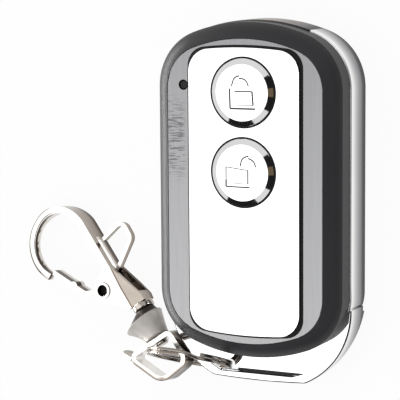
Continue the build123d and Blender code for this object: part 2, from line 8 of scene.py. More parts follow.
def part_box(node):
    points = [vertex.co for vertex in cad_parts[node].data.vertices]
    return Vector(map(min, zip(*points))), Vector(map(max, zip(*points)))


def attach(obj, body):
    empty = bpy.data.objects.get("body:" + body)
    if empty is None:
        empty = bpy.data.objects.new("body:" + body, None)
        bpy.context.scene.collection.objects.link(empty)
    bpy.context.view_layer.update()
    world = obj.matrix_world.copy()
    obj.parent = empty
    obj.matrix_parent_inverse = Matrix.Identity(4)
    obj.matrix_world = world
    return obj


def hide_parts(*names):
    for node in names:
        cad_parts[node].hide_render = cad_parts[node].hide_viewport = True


# Wireless remote control with its split ring and snap hook.
# Lengths are in millimetres until they reach a mesh, which is in metres.

MM = 0.001
same_corner = 0.000002
on_cutting_plane = 0.000001

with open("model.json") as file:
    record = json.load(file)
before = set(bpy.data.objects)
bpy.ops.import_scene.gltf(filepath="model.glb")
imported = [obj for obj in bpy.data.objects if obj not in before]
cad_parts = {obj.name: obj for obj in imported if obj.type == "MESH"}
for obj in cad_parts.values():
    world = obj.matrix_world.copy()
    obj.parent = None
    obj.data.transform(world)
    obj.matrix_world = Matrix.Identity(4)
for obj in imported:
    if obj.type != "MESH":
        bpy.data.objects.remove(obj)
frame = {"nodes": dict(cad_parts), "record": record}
nodes = frame["nodes"]
bodies = frame["record"]["behaviour"]["bodies"]
body_of_node = {node: body for body, members in bodies.items() for node in members}
slot_of_node = {part["node"]: part["material_slot"] for part in frame["record"]["subparts"]}
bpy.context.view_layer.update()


# The hook's own axes: a runs along its shank, b across it and c up from its plane

hook_heading = radians(124.26)
hook_along = Vector((-0.558086, 0.819351, -0.131163)).normalized()
hook_side = Vector((-sin(hook_heading), cos(hook_heading), 0.0))
hook_up = hook_along.cross(hook_side).normalized()
hook_origin = Vector((-19.6219, -27.9689, 5.97485)) * MM
ring_axis = Vector((0.0324, 0.943, -0.3313)).normalized()


def hook_place(a, b, c=0.0):
    """A point given by its places on the hook's own axes, in millimetres."""
    return hook_origin + (hook_along * a + hook_side * b + hook_up * c) * MM


def in_hook_frame(point):
    """A point's places on the hook's own axes, in millimetres."""
    offset = (point - hook_origin) / MM
    return offset.dot(hook_along), offset.dot(hook_side), offset.dot(hook_up)


head_middle = hook_place(27.05, 9.49)


# What the materials are put together from

def grey(value):
    return (value, value, value)


black, white = grey(0.0), grey(1.0)


def new_material(name):
    material = bpy.data.materials.new(name)
    material.use_nodes = True
    tree = material.node_tree
    return material, tree, tree.nodes["Principled BSDF"]


def new_metal(name, metallic=1.0):
    material, tree, shader = new_material(name)
    shader.inputs["Metallic"].default_value = metallic
    return material, tree, shader


def link(tree, source, target):
    tree.links.new(source, target)


def object_coordinates(tree, scale=(1.0, 1.0, 1.0), turn_deg=0.0):
    """Object coordinates, stretched and turned about Z, for a pattern that runs through a piece."""
    texture = tree.nodes.new("ShaderNodeTexCoord")
    mapping = tree.nodes.new("ShaderNodeMapping")
    mapping.inputs["Scale"].default_value = scale
    mapping.inputs["Rotation"].default_value = (0.0, 0.0, radians(turn_deg))
    link(tree, texture.outputs["Object"], mapping.inputs["Vector"])
    return mapping.outputs["Vector"]


def noise(tree, vector, scale, detail=2.0, roughness=0.5):
    node = tree.nodes.new("ShaderNodeTexNoise")
    node.inputs["Scale"].default_value = scale
    node.inputs["Detail"].default_value = detail
    node.inputs["Roughness"].default_value = roughness
    link(tree, vector, node.inputs["Vector"])
    return node.outputs["Fac"]


def ramp(tree, factor, stops):
    """A colour for each place of the factor between 0 and 1."""
    node = tree.nodes.new("ShaderNodeValToRGB")
    elements = node.color_ramp.elements
    while len(elements) < len(stops):
        elements.new(0.5)
    for element, (place, colour) in zip(elements, stops):
        element.position = place
        element.color = (*colour, 1.0)
    link(tree, factor, node.inputs["Fac"])
    return node.outputs["Color"]


def mask(tree, factor):
    """Black where the factor is 0, white where it is 1."""
    return ramp(tree, factor, [(0.0, black), (1.0, white)])


def bump(tree, shader, height, distance, strength):
    node = tree.nodes.new("ShaderNodeBump")
    node.inputs["Strength"].default_value = strength
    node.inputs["Distance"].default_value = distance
    link(tree, height, node.inputs["Height"])
    link(tree, node.outputs["Normal"], shader.inputs["Normal"])


def spread(tree, factor, low, high):
    """A factor between 0 and 1, spread between two values."""
    node = tree.nodes.new("ShaderNodeMapRange")
    node.inputs["To Min"].default_value = low
    node.inputs["To Max"].default_value = high
    link(tree, factor, node.inputs["Value"])
    return node.outputs["Result"]


def tint(tree, first, second):
    """One colour multiplied by another."""
    node = tree.nodes.new("ShaderNodeMix")
    node.data_type = "RGBA"
    node.blend_type = "MULTIPLY"
    node.inputs["Factor"].default_value = 1.0
    link(tree, first, node.inputs["A"])
    link(tree, second, node.inputs["B"])
    return node.outputs["Result"]


def blend_colours(tree, factor, first, second):
    """The first colour where the factor is black, the second where it is white."""
    node = tree.nodes.new("ShaderNodeMix")
    node.data_type = "RGBA"
    link(tree, factor, node.inputs["Factor"])
    link(tree, first, node.inputs["A"])
    link(tree, second, node.inputs["B"])
    return node.outputs["Result"]


def only_where(tree, place, pattern):
    """The pattern where the mask is white, and plain white elsewhere."""
    plain = tree.nodes.new("ShaderNodeRGB").outputs["Color"]
    plain.default_value = (*white, 1.0)
    return blend_colours(tree, place, plain, pattern)


def between(tree, length, low_mm, high_mm):
    """Where a length lies between two lengths in millimetres, from 0 to 1."""
    node = tree.nodes.new("ShaderNodeMapRange")
    node.inputs["From Min"].default_value = low_mm * MM
    node.inputs["From Max"].default_value = high_mm * MM
    link(tree, length, node.inputs["Value"])
    return node.outputs["Result"]


def along_axis(tree, axis, low_mm, high_mm):
    """How far a point lies between two places on an object axis, from 0 to 1."""
    texture = tree.nodes.new("ShaderNodeTexCoord")
    parts = tree.nodes.new("ShaderNodeSeparateXYZ")
    link(tree, texture.outputs["Object"], parts.inputs["Vector"])
    return between(tree, parts.outputs[axis], low_mm, high_mm)


def vector_math(tree, operation, vector, constant=None):
    node = tree.nodes.new("ShaderNodeVectorMath")
    node.operation = operation
    link(tree, vector, node.inputs[0])
    if constant is not None:
        node.inputs[1].default_value = constant
    return node


def offset_from(tree, origin):
    texture = tree.nodes.new("ShaderNodeTexCoord")
    return vector_math(tree, "SUBTRACT", texture.outputs["Object"], origin).outputs["Vector"]


def along_hook(tree, direction, low_mm, high_mm):
    """How far a point lies between two places on one of the hook's own axes, from 0 to 1."""
    offset = offset_from(tree, hook_origin)
    length = vector_math(tree, "DOT_PRODUCT", offset, direction).outputs["Value"]
    return between(tree, length, low_mm, high_mm)


def from_line(tree, origin, direction, low_mm, high_mm):
    """How far a point lies from a line, between two distances in millimetres, from 0 to 1."""
    across = vector_math(tree, "CROSS_PRODUCT", offset_from(tree, origin), direction)
    length = vector_math(tree, "LENGTH", across.outputs["Vector"]).outputs["Value"]
    return between(tree, length, low_mm, high_mm)


def hairlines(tree, shader, scale, low_rough, high_rough):
    """Roughness that varies in faint hairline marks."""
    marks = noise(tree, object_coordinates(tree, (1.0, 6.0, 1.0)), scale)
    link(tree, spread(tree, marks, low_rough, high_rough), shader.inputs["Roughness"])


def base_colour_source(material):
    """A material's nodes, its shader and what its base colour comes from."""
    tree = material.node_tree
    shader = tree.nodes["Principled BSDF"]
    return tree, shader, shader.inputs["Base Color"].links[0].from_socket


# Materials

cloud_depth, cloud_strength = 0.00001, 0.15
grain_depth, grain_strength = 0.00001, 0.12
streak_depth, streak_strength = 0.000004, 0.4


def polished_metal(name, colour, darker, roughness, wear):
    """Bright plated metal with faint clouding and hairline marks."""
    material, tree, shader = new_metal(name)
    clouds = noise(tree, object_coordinates(tree), 90.0, 3.0)
    link(tree, ramp(tree, clouds, [(0.3, darker), (0.7, colour)]), shader.inputs["Base Color"])
    hairlines(tree, shader, 700.0, roughness, roughness + wear)
    bump(tree, shader, clouds, cloud_depth, cloud_strength)
    return material


# Nickel by its painted shade and tone: bright at 0, warm grey at a half, dark brown at 1
nickel_shades = [
    (0.0, (0.80, 0.775, 0.74)), (0.22, (0.74, 0.70, 0.65)), (0.32, (0.42, 0.375, 0.335)),
    (0.72, (0.30, 0.255, 0.22)), (0.86, (0.085, 0.062, 0.048)), (1.0, (0.02, 0.013, 0.01)),
]
# White on the bright broad faces, black where painted shade darkens the nickel
broad_face_stops = [(0.0, white), (0.12, white), (0.18, black)]
# Colours of the painted shade lines on the head, and of the shank's back band and the dark line
# beside it
inner_shade_line, outer_shade_line, band_line = (0.06, 0.045, 0.035), (0.08, 0.06, 0.045), (0.12, 0.09, 0.07)
back_band = (0.5, 0.46, 0.42)


def head_shade_lines(tree):
    """Painted shade lines along the strip's inner and outer contour, on the left half of the head.
    """
    lines = ramp(tree, from_line(tree, head_middle, hook_up, 5.6, 7.6), [
        (0.0, white), (0.19, white), (0.2, inner_shade_line), (0.26, inner_shade_line),
        (0.3, white), (0.71, white), (0.74, outer_shade_line), (1.0, outer_shade_line),
    ])
    on_head = mask(tree, along_hook(tree, hook_along, 22.0, 25.0))
    left_half = mask(tree, along_hook(tree, hook_side, 6.5, 9.0))
    return tint(tree, on_head, left_half), lines


def shank_back(tree):
    """A darker band along the shank's back, with a dark line beside it."""
    lines = ramp(tree, along_hook(tree, hook_side, -1.0, 5.0), [
        (0.0, back_band), (0.36, back_band), (0.38, band_line), (0.40, band_line), (0.42, white),
    ])
    on_shank = ramp(tree, along_hook(tree, hook_along, 8.0, 20.0), [
        (0.0, white), (0.72, white), (1.0, black),
    ])
    return on_shank, lines


def nickel_with_painted_shade(name, low_rough=0.1, high_rough=0.24, metallic=1.0, hook_lines=False):
    """Nickel plate, bright on the broad faces that face up or down from the hook's plane, and
    painted warm grey to dark brown elsewhere, mostly as painted shade.
    """
    material, tree, shader = new_metal(name, metallic)
    # This attribute holds painted shade, and the plain tone of a few pieces
    shade_and_tone = tree.nodes.new("ShaderNodeAttribute")
    shade_and_tone.attribute_name = "shade_and_tone"
    plate = ramp(tree, shade_and_tone.outputs["Fac"], nickel_shades)
    # On the hook, painted shade lines round the head and a darker band along the shank's back, on
    # the broad faces only
    if hook_lines:
        broad_faces = ramp(tree, shade_and_tone.outputs["Fac"], broad_face_stops)
        for place, lines in (head_shade_lines(tree), shank_back(tree)):
            plate = tint(tree, plate, only_where(tree, tint(tree, place, broad_faces), lines))
    clouds = noise(tree, object_coordinates(tree), 260.0, 3.0)
    patches = ramp(tree, clouds, [(0.3, grey(0.82)), (0.65, white)])
    link(tree, tint(tree, plate, patches), shader.inputs["Base Color"])
    hairlines(tree, shader, 900.0, low_rough, high_rough)
    bump(tree, shader, clouds, cloud_depth, cloud_strength)
    return material


def case_chrome(name):
    """Chrome with painted reflection: painted darker down the side, and a painted dark reflection
    line under the rim of the chin.
    """
    material, tree, shader = new_metal(name)
    height = along_axis(tree, "Z", 0.0, 6.8)
    # Painted reflection: near black at the foot of the side, lighter towards the top
    fall = ramp(tree, height, [
        (0.0, grey(0.02)), (0.25, grey(0.022)), (0.33, (0.16, 0.16, 0.17)),
        (0.52, (0.31, 0.31, 0.325)), (0.72, (0.55, 0.545, 0.54)), (0.9, grey(0.9)),
    ])
    # Painted reflection: a dark line just under the chin's rim
    rim = ramp(tree, height, [
        (0.0, white), (0.945, white), (0.958, grey(0.04)), (0.992, grey(0.04)), (0.999, white),
    ])
    on_chin = ramp(tree, along_axis(tree, "Y", -20.0, -14.0), [(0.0, white), (1.0, black)])
    fall = tint(tree, fall, only_where(tree, on_chin, rim))
    clouds = noise(tree, object_coordinates(tree), 90.0, 3.0)
    patches = ramp(tree, clouds, [(0.3, grey(0.94)), (0.7, white)])
    link(tree, tint(tree, fall, patches), shader.inputs["Base Color"])
    hairlines(tree, shader, 700.0, 0.03, 0.08)
    return material


def brushed_metal(name, colour, darker, roughness):
    """Satin metal with fine streaks along Y, slanting rub marks high on its left side, and painted
    light that makes it lighter towards -Y and darker towards +Y.
    """
    material, tree, shader = new_metal(name)
    streaks = noise(tree, object_coordinates(tree, (1.0, 0.03, 1.0)), 2600.0, 3.0, 0.6)
    fine = ramp(tree, streaks, [(0.3, darker), (0.7, colour)])
    slanting = object_coordinates(tree, (0.14, 1.0, 0.14), -38.0)
    rubs = ramp(tree, noise(tree, slanting, 4200.0, 1.0), [(0.4, grey(0.48)), (0.52, white)])
    high_up = ramp(tree, along_axis(tree, "Y", 3.0, 19.5), [
        (0.0, black), (0.25, white), (0.75, white), (1.0, black),
    ])
    on_left = ramp(tree, along_axis(tree, "X", -12.2, -11.0), [(0.0, white), (1.0, black)])
    marked = blend_colours(tree, tint(tree, high_up, on_left), fine, tint(tree, fine, rubs))
    # Painted light: lighter towards -Y, darker towards +Y
    painted_light_lengthwise = ramp(tree, along_axis(tree, "Y", -27.0, 31.0), [
        (0.0, (1.15, 1.15, 1.16)), (0.3, (1.08, 1.08, 1.09)), (1.0, (0.82, 0.82, 0.84)),
    ])
    link(tree, tint(tree, marked, painted_light_lengthwise), shader.inputs["Base Color"])
    link(tree, spread(tree, streaks, roughness, roughness + 0.12), shader.inputs["Roughness"])
    bump(tree, shader, streaks, streak_depth, streak_strength)
    return material


def moulded_plastic(name, colour, lighter, roughness, grain=grain_depth, specular=0.5):
    """Moulded plastic with a fine eroded grain."""
    material, tree, shader = new_material(name)
    grains = noise(tree, object_coordinates(tree), 5200.0)
    patches = noise(tree, object_coordinates(tree), 60.0)
    link(tree, ramp(tree, patches, [(0.25, colour), (0.75, lighter)]), shader.inputs["Base Color"])
    link(tree, spread(tree, grains, roughness, roughness + 0.1), shader.inputs["Roughness"])
    shader.inputs["Specular IOR Level"].default_value = specular
    bump(tree, shader, grains, grain, grain_strength)
    return material


def frame_finish(name):
    """Dark grey moulded frame, whose skirt over the aerial is painted a warm grey running from a
    painted highlight, cream at the left, to painted shade, near black at the right.
    """
    material = moulded_plastic(
        name, (0.0215, 0.0205, 0.0232), (0.0255, 0.0245, 0.0272), 0.4, specular=0.3,
    )
    tree, shader, plain = base_colour_source(material)
    # Painted light on the skirt: a cream highlight at the left fading to near black shade at the
    # right
    skirt = ramp(tree, along_axis(tree, "X", -10.0, 10.0), [
        (0.0, (0.80, 0.76, 0.70)), (0.45, (0.52, 0.49, 0.45)), (0.9, (0.16, 0.145, 0.14)),
        (0.97, grey(0.02)),
    ])
    above_skirt = mask(tree, along_axis(tree, "Z", 6.6, 6.9))
    link(tree, blend_colours(tree, above_skirt, skirt, plain), shader.inputs["Base Color"])
    return material


def plate_finish(name):
    """Mirror plate with its cut edge painted black as painted shade."""
    material = polished_metal(name, grey(0.93), grey(0.91), 0.015, 0.02)
    tree, shader, plain = base_colour_source(material)
    # Painted shade on the plate's side wall, below its face
    edge = ramp(tree, along_axis(tree, "Z", 12.7, 12.89), [
        (0.0, grey(0.008)), (0.7, grey(0.01)), (0.8, white),
    ])
    link(tree, tint(tree, plain, edge), shader.inputs["Base Color"])
    return material


chrome = case_chrome("case_chrome")
mirror = plate_finish("mirror_plate")
button_chrome = polished_metal("button_chrome", grey(0.93), grey(0.91), 0.05, 0.02)
nickel = nickel_with_painted_shade("warm_nickel")
hook_nickel = nickel_with_painted_shade("hook_nickel", hook_lines=True)
bell_nickel = nickel_with_painted_shade("bell_nickel", 0.46, 0.54, metallic=0.45)
satin = brushed_metal("satin_silver", (0.34, 0.34, 0.343), (0.295, 0.295, 0.298), 0.34)
steel = polished_metal("plated_steel", grey(0.56), grey(0.5), 0.25, 0.1)
copper = polished_metal("bare_copper", (0.72, 0.36, 0.22), (0.6, 0.28, 0.16), 0.2, 0.1)
frame_plastic = frame_finish("dark_grey_plastic")
# Near black for painted shade in gaps and the rivet's bore
painted_shade_black = moulded_plastic("painted_shade_black", grey(0.004), grey(0.006), 0.6, specular=0.2)
sign_grey = moulded_plastic("sign_grey", grey(0.02), grey(0.035), 0.6, specular=0.1)
cover_plastic = moulded_plastic("black_plastic", grey(0.018), grey(0.024), 0.45)
switch_plastic = moulded_plastic("switch_black", grey(0.02), grey(0.026), 0.5)
plunger_plastic = moulded_plastic("plunger_grey", grey(0.12), grey(0.15), 0.45)
lens_plastic = moulded_plastic(
    "smoked_lens", grey(0.006), grey(0.01), 0.12, grain=0.0, specular=0.2,
)
led_white = moulded_plastic("led_package", grey(0.6), grey(0.68), 0.3)
board_green = moulded_plastic("solder_mask", (0.012, 0.11, 0.035), (0.02, 0.15, 0.05), 0.3)
chip_black = moulded_plastic("chip_epoxy", grey(0.014), grey(0.02), 0.55)
jacket = moulded_plastic("battery_sleeve", (0.05, 0.05, 0.055), (0.07, 0.07, 0.075), 0.25)

finishes = {
    "chrome_case": chrome, "dark_plastic": cover_plastic, "grey_plastic": frame_plastic,
    "satin_metal": satin, "mirror_metal": mirror, "switch_plastic": switch_plastic,
    "plunger_plastic": plunger_plastic, "lens_plastic": lens_plastic, "led_package": led_white,
    "board": board_green, "chip_plastic": chip_black, "can_metal": steel, "copper_wire": copper,
    "battery_jacket": jacket, "contact_metal": steel, "screw_steel": steel, "nickel": nickel,
    "spring_steel": steel,
}

for node_name, node in nodes.items():
    node.data.materials.clear()
    node.data.materials.append(finishes[slot_of_node[node_name]])


# Painted shade and tone: how dark each corner of a nickelled face is painted, by the face's
# direction and the place

bright, dark = 0.0, 0.95


def is_broad_face(normal):
    """Whether a face of the strip faces up or down from the hook's plane; these broad faces stay
    bright.
    """
    return abs(normal.dot(hook_up)) > 0.8


def share(value):
    return min(1.0, max(0.0, value))


# The hook's strip: where its bend starts and is centred, and how it narrows towards the jaw
bend_start_a = 13.0
bend_middle_a, bend_middle_b = 21.5, 7.0
strip_half_width, jaw_narrowing = 2.2, 1.35
taper_start_b, taper_length = 3.0, 9.5
# Width of the painted shadow line high along the inside of the bend
inside_shadow_line_width = 0.95


def strip_painted_shade(normal, point):
    """Painted shade on the strip: side faces warm grey and painted browner lower down, with a
    painted shadow line high along the inside of the bend.
    """
    if is_broad_face(normal):
        return bright
    a, b, c = in_hook_frame(point)
    to_middle = hook_along * (bend_middle_a - a) + hook_side * (bend_middle_b - b)
    if a > bend_start_a and normal.dot(to_middle) > 0.0:
        half_width = strip_half_width - jaw_narrowing * share((b - taper_start_b) / taper_length)
        return dark if c > half_width - inside_shadow_line_width else 0.2
    return 0.34 + 0.62 * share((1.6 - c) / 3.8)


# The gate's far part starts at this b, and is dark above this c
gate_far_b, gate_dark_c = 6.0, -0.3


# Gate: broad faces bright, side faces painted darker low down as painted shade, and the far part
# dark above that height
def gate_darkening(normal, point):
    if is_broad_face(normal):
        return bright
    a, b, c = in_hook_frame(point)
    if b > gate_far_b:
        return dark if c > gate_dark_c else 0.25
    return 0.36 + 0.5 * share(0.4 - c)


# Middle line of the eye's strip on its left and far sides, and the band that is brown there
eye_middle_a, eye_middle_b = -2.0, 0.3
eye_corner, eye_bend_middle, eye_bend_radius = Vector((-5.9, 2.9)), Vector((-2.709, 1.23)), 3.0
eye_left_outward, eye_far_outward = Vector((-0.4815, 0.8765)), Vector((-0.9946, -0.104))
eye_left_run, eye_far_run = Vector((-0.8765, -0.4815)), Vector((-0.104, 0.9946))
eye_half_strip, eye_brown_band = 0.45, 0.5


def outside_of_strip_middle(a, b):
    """How far a point lies outside the strip's middle line, round the eye's left and far sides."""
    from_bend = Vector((a, b)) - eye_bend_middle
    if from_bend.dot(eye_left_run) > 0.0 and from_bend.dot(eye_far_run) > 0.0:
        return from_bend.length - eye_bend_radius
    from_corner = Vector((a, b)) - eye_corner
    return max(from_corner.dot(eye_left_outward), from_corner.dot(eye_far_outward))


# Eye: outer faces painted darker lower down as painted shade, inner faces dark high up where b is
# below 2.5, and a brown band on the broad faces beside the outline
def eye_shade_and_band(normal, point):
    a, b, c = in_hook_frame(point)
    if is_broad_face(normal):
        past_band = outside_of_strip_middle(a, b) - eye_half_strip + eye_brown_band
        return share(past_band / eye_brown_band)
    to_middle = hook_along * (eye_middle_a - a) + hook_side * (eye_middle_b - b)
    if normal.dot(to_middle) > 0.0:
        return 0.94 if c > 0.75 and b < 2.5 else bright
    return 0.74 + 0.24 * share((0.9 - c) / 2.0)


def ring_painted_shade(normal, point):
    """Painted shade: the wire's flat faces, turned away from the light, are painted browner than
    its round edges.
    """
    return 0.84 if abs(normal.dot(ring_axis)) > 0.7 else 0.5


def collar_tarnish(normal, point):
    return 0.3


def rivet_painted_shade(normal, point):
    """The rivet's head is bright and its bore is painted dark, as painted shade in the hollow."""
    return bright if abs(normal.dot(hook_up)) > 0.7 else 1.0


# Strap end: broad faces near bright, side faces painted darker low down as painted shade
def strap_end_painted_shade(normal, point):
    c = in_hook_frame(point)[2]
    return 0.1 if is_broad_face(normal) else 0.33 + 0.5 * max(0.0, (0.4 - c) / 2.0)


shade_and_tone_of_node = {
    "hook_body": strip_painted_shade, "gate_lever": gate_darkening, "swivel_eye": eye_shade_and_band,
    "key_ring": ring_painted_shade, "swivel_collar": collar_tarnish, "swivel_pin": collar_tarnish,
    "gate_rivet": rivet_painted_shade,
}

# Heights above the hook's plane at which a piece's faces are cut, so that the painted shade can
# change
shade_levels = {
    "hook_body": (-1.2, -0.4, -0.1, 0.2, 0.5, 0.8, 1.1, 1.2, 1.25), "gate_lever": (-0.35, -0.25),
    "swivel_eye": (-0.6, 0.7, 0.8),
}


def cut_brown_band(work):
    """Cuts the eye's broad faces beside its outline, so that the brown band can end there."""
    for outward in (eye_left_outward, eye_far_outward):
        broad_faces = [face for face in work.faces if is_broad_face(face.normal)]
        halves = bmesh.ops.triangulate(work, faces=broad_faces)["faces"]
        edges = list({edge for face in halves for edge in face.edges})
        corners = list({corner for face in halves for corner in face.verts})
        spot = eye_corner + outward * (eye_half_strip - eye_brown_band)
        bmesh.ops.bisect_plane(
            work, geom=corners + edges + halves, dist=on_cutting_plane,
            plane_co=hook_place(spot.x, spot.y),
            plane_no=(hook_along * outward.x + hook_side * outward.y).normalized(),
        )


def paint_shade_and_tone(work, rule):
    shade_and_tone = work.loops.layers.float.new("shade_and_tone")
    for face in work.faces:
        for loop in face.loops:
            loop[shade_and_tone] = rule(face.normal, loop.vert.co)


# Pieces

curved_below_deg = 28.0
turned_sharp_deg = 12.0
square_edge_deg = 40.0


def mark_sharp(work, sharp_deg):
    for face in work.faces:
        face.smooth = True
    for edge in work.edges:
        turn = edge.calc_face_angle(0.0)
        edge.smooth = len(edge.link_faces) == 2 and turn < radians(sharp_deg)


def new_piece(name, work):
    mesh = bpy.data.meshes.new(name)
    work.to_mesh(mesh)
    work.free()
    piece = bpy.data.objects.new(name, mesh)
    bpy.context.scene.collection.objects.link(piece)
    return piece


def break_edges(piece, sharp_deg, bevel_mm=0.0):
    """A narrow bevel on the sharp edges, where a width is given, and flat faces left flat."""
    if bevel_mm:
        bevel = piece.modifiers.new("broken_edges", "BEVEL")
        bevel.width = bevel_mm * MM
        bevel.segments = 2
        bevel.limit_method = "ANGLE"
        bevel.angle_limit = radians(sharp_deg)
        bevel.harden_normals = True
    weighted = piece.modifiers.new("flat_faces_stay_flat", "WEIGHTED_NORMAL")
    weighted.keep_sharp = True


def finish_piece(piece, node_name, material):
    """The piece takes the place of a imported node, on its body and in its slot."""
    piece.data.materials.clear()
    piece.data.materials.append(material)
    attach(piece, body_of_node[node_name])
    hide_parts(node_name)


def smooth_copy(node_name, bevel_mm):
    """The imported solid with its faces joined, its curved faces smooth and its edges broken."""
    work = bmesh.new()
    work.from_mesh(nodes[node_name].data)
    bmesh.ops.remove_doubles(work, verts=work.verts, dist=same_corner)
    bmesh.ops.dissolve_limit(work, angle_limit=radians(0.6), verts=work.verts, edges=work.edges)
    for level in shade_levels.get(node_name, ()):
        bmesh.ops.bisect_plane(
            work, geom=work.verts[:] + work.edges[:] + work.faces[:], dist=on_cutting_plane,
            plane_co=hook_origin + hook_up * level * MM, plane_no=hook_up,
        )
    if node_name == "swivel_eye":
        cut_brown_band(work)
    mark_sharp(work, curved_below_deg)
    if node_name in shade_and_tone_of_node:
        paint_shade_and_tone(work, shade_and_tone_of_node[node_name])
    piece = new_piece(node_name + "_dressed", work)
    break_edges(piece, curved_below_deg, bevel_mm)
    finish = hook_nickel if node_name == "hook_body" else finishes[slot_of_node[node_name]]
    finish_piece(piece, node_name, finish)


def join_rings(work, rings, closed=False):
    """Faces from each ring of corners to the next, and from the last to the first if closed."""
    pairs = list(zip(rings, rings[1:]))
    if closed:
        pairs.append((rings[-1], rings[0]))
    for this, other in pairs:
        for j in range(len(this)):
            n = (j + 1) % len(this)
            work.faces.new((this[j], this[n], other[n], other[j]))


def turned_piece(name, ring_count, place, segments, shade_and_tone_of_ring=None):
    """A closed shell through rings of corners; place(k, angle) is a point on ring k."""
    work = bmesh.new()
    rings = [
        [work.verts.new(place(k, 2 * pi * j / segments)) for j in range(segments)]
        for k in range(ring_count)
    ]
    join_rings(work, rings)
    work.faces.new(rings[0])
    work.faces.new(rings[-1])
    if shade_and_tone_of_ring:
        shade_and_tone = work.loops.layers.float.new("shade_and_tone")
        ring_of = {corner: k for k, ring in enumerate(rings) for corner in ring}
        for face in work.faces:
            for loop in face.loops:
                loop[shade_and_tone] = shade_and_tone_of_ring[ring_of[loop.vert]]
    bmesh.ops.recalc_face_normals(work, faces=work.faces)
    mark_sharp(work, turned_sharp_deg)
    return new_piece(name, work)


def middle_and_top(node_name):
    """A button's middle and the height of its face, in metres."""
    low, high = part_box(node_name)
    return (low[0] + high[0]) / 2, (low[1] + high[1]) / 2, high[2]


# Radius and height from the face: flat face, fine groove, wide chamfer and upright wall
cap_profile = [
    (0.4, 0.0), (4.78, 0.0), (4.84, -0.09), (4.93, -0.09), (4.98, -0.02), (5.88, -0.43),
    (5.94, -0.5), (5.95, -0.6), (5.95, -1.5), (0.4, -1.5),
]


def button_cap(node_name):
    middle_x, middle_y, top = middle_and_top(node_name)

    def place(k, angle):
        radius, height = cap_profile[k]
        x, y = middle_x + radius * MM * cos(angle), middle_y + radius * MM * sin(angle)
        return (x, y, (top / MM + height) * MM)

    piece = turned_piece(node_name + "_dressed", len(cap_profile), place, 128)
    break_edges(piece, square_edge_deg)
    finish_piece(piece, node_name, button_chrome)


# Bell: places along its axis, and how much it swells, leans to one side and tilts at its rim
bell_start, bell_body_start, bell_rim_low, bell_rim_high, bell_end = 1.73, 1.85, 5.55, 5.83, 7.58
foot_radius, foot_shift = 2.3, 0.35
body_swell, body_lean, body_steps = 1.5, 0.95, 10
rim_radius, rim_shift, rim_tilt = 3.7, 1.26, 0.2
cone_narrowing, cone_steps = 1.9, 6


def bell():
    """Barrel with a flared body, a thin tilted rim drawn out to one side, and a cone painted dark
    as a painted reflection of dark surroundings.
    """
    # Each ring: place on the axis, radius, shift to the side, painted shade and tone, and tilt
    rings = [
        (bell_start, 0.6, foot_shift, 0.45, 0.0), (bell_start, 2.15, foot_shift, 0.45, 0.0),
        (bell_body_start, foot_radius, foot_shift, 0.4, 0.02),
    ]
    for k in range(1, body_steps + 1):
        t = k / body_steps
        swell = t ** 1.4
        rings.append((
            bell_body_start + (bell_rim_low - bell_body_start) * t,
            foot_radius + body_swell * swell, foot_shift + body_lean * swell,
            0.23 - 0.1 * t, rim_tilt * t,
        ))
    rings += [
        (bell_rim_low + 0.1, 3.87, 1.3, 0.12, rim_tilt),
        (bell_rim_high - 0.06, 3.84, 1.3, 0.9, rim_tilt),
        (bell_rim_high, rim_radius, rim_shift, 1.0, rim_tilt),
    ]
    # The cone is painted dark, a painted reflection of dark surroundings
    for k in range(1, cone_steps + 1):
        t = k / cone_steps
        rings.append((
            bell_rim_high + (bell_end - bell_rim_high) * t,
            rim_radius - cone_narrowing * t ** 0.8, rim_shift * (1 - t), 1.0, rim_tilt * (1 - t),
        ))
    rings.append((bell_end, 0.95, 0.0, 0.97, 0.0))

    def place(k, angle):
        a, radius, shift, shade_and_tone, tilt = rings[k]
        across, upward = radius * cos(angle), radius * sin(angle)
        return hook_place(a - tilt * across, shift + across, upward)

    shade_and_tone_of_ring = [ring[3] for ring in rings]
    piece = turned_piece("swivel_barrel_dressed", len(rings), place, 96, shade_and_tone_of_ring)
    break_edges(piece, square_edge_deg)
    finish_piece(piece, "swivel_barrel", bell_nickel)


# Strap end: where it starts inside the eye's strip and where it ends, in the hook's own axes
strap_first, strap_last = Vector((0.75, 6.55)), Vector((3.0, 8.05))
strap_half_width, strap_half_thickness, strap_round, strap_steps = 1.55, 0.42, 0.9, 12


def strap_end():
    """Rounded free end of the eye's strap, which stands out beside the barrel."""
    run = (strap_last - strap_first).normalized()
    across = Vector((-run.y, run.x))
    straight = (strap_last - strap_first).length - strap_round
    outline = [(0.0, -strap_half_width), (0.0, strap_half_width)]
    for k in range(strap_steps + 1):
        angle = pi / 2 - pi * k / strap_steps
        outline.append((straight + strap_round * cos(angle), strap_half_width * sin(angle)))
    work = bmesh.new()
    rings = []
    for to_side in (-strap_half_thickness, strap_half_thickness):
        spots = [(strap_first + run * along + across * to_side, c) for along, c in outline]
        rings.append([work.verts.new(hook_place(spot.x, spot.y, c)) for spot, c in spots])
    work.faces.new(rings[0])
    work.faces.new(rings[1])
    join_rings(work, rings)
    bmesh.ops.recalc_face_normals(work, faces=work.faces)
    mark_sharp(work, square_edge_deg)
    paint_shade_and_tone(work, strap_end_painted_shade)
    piece = new_piece("swivel_eye_strap_end", work)
    break_edges(piece, square_edge_deg, 0.12)
    piece.data.materials.append(nickel)
    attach(piece, body_of_node["swivel_eye"])


def black_bead(name, rings):
    """Closed black bead of painted shade that fills a joint of the housing, through four rings of
    points.
    """
    work = bmesh.new()
    join_rings(work, [[work.verts.new(point) for point in ring] for ring in rings], closed=True)
    bmesh.ops.recalc_face_normals(work, faces=work.faces)
    mark_sharp(work, square_edge_deg)
    piece = new_piece(name, work)
    piece.data.materials.append(painted_shade_black)
    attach(piece, "housing")


frame_middle_y = 2.2
oblong_steps = 16
plate_bulge_radius = 70.0


